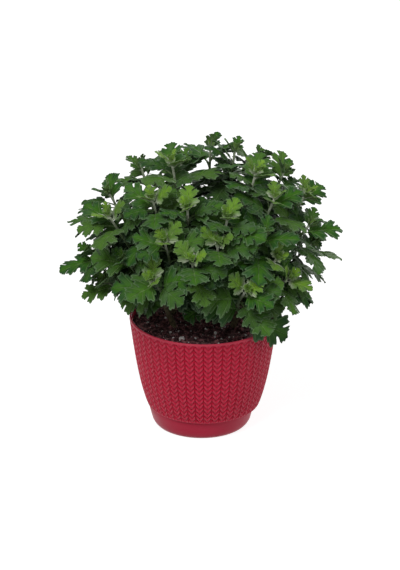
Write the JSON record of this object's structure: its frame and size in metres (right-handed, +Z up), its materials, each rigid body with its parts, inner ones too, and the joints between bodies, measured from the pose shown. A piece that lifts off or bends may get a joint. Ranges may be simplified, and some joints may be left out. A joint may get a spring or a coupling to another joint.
{
  "type": "potted chrysanthemum",
  "caption": "Bushy potted chrysanthemum with lobed green leaves and pale young tips, without flowers, in a red plastic pot with a knit-pattern relief and a smooth base.",
  "frame": {"origin": "centre of the flat underside of the pot base", "axes": "+Z up out of the pot, -Y towards the front of the picture, +X to the right of the picture"},
  "size_m": [0.2806, 0.2646, 0.2988],
  "materials": {
    "pot_plastic": "satin red plastic with a moulded knit relief",
    "base_plastic": "smooth satin red plastic",
    "soil": "dark, matt, fibrous potting mix",
    "stem": "matt, half-woody green-brown stem",
    "leaf_dark": "soft, faintly felted dark green leaf",
    "leaf_young": "woolly yellow-green young leaf"
  },
  "bodies": {
    "root": {"cutting_1": "stem", "cutting_2": "stem", "cutting_3": "stem", "cutting_4": "stem", "cutting_5": "stem", "cutting_6": "stem", "pot_base": "base_plastic", "pot_body": "pot_plastic", "shoot_01": "leaf_dark", "shoot_02": "leaf_dark", "shoot_03": "leaf_dark", "shoot_04": "leaf_dark", "shoot_05": "leaf_dark", "shoot_06": "leaf_dark", "shoot_07": "leaf_dark", "shoot_08": "leaf_dark", "shoot_09": "leaf_dark", "shoot_10": "leaf_dark", "shoot_11": "leaf_dark", "shoot_12": "leaf_dark", "shoot_13": "leaf_dark", "shoot_14": "leaf_dark", "shoot_15": "leaf_dark", "shoot_16": "leaf_dark", "shoot_17": "leaf_dark", "shoot_18": "leaf_dark", "shoot_19": "leaf_dark", "shoot_20": "leaf_dark", "shoot_21": "leaf_dark", "shoot_22": "leaf_dark", "shoot_23": "leaf_dark", "shoot_24": "leaf_dark", "shoot_25": "leaf_dark", "shoot_26": "leaf_dark", "shoot_27": "leaf_dark", "shoot_28": "leaf_dark", "shoot_29": "leaf_dark", "shoot_30": "leaf_dark", "shoot_31": "leaf_dark", "shoot_32": "leaf_dark", "shoot_33": "leaf_dark", "shoot_34": "leaf_dark", "shoot_35": "leaf_dark", "shoot_36": "leaf_dark", "soil": "soil", "tip_01": "leaf_young", "tip_02": "leaf_young", "tip_04": "leaf_young", "tip_07": "leaf_young", "tip_08": "leaf_young", "tip_10": "leaf_young", "tip_12": "leaf_young", "tip_13": "leaf_young", "tip_14": "leaf_young", "tip_15": "leaf_young", "tip_16": "leaf_young", "tip_17": "leaf_young", "tip_21": "leaf_young", "tip_22": "leaf_young", "tip_24": "leaf_young"}
  },
  "joints": []
}
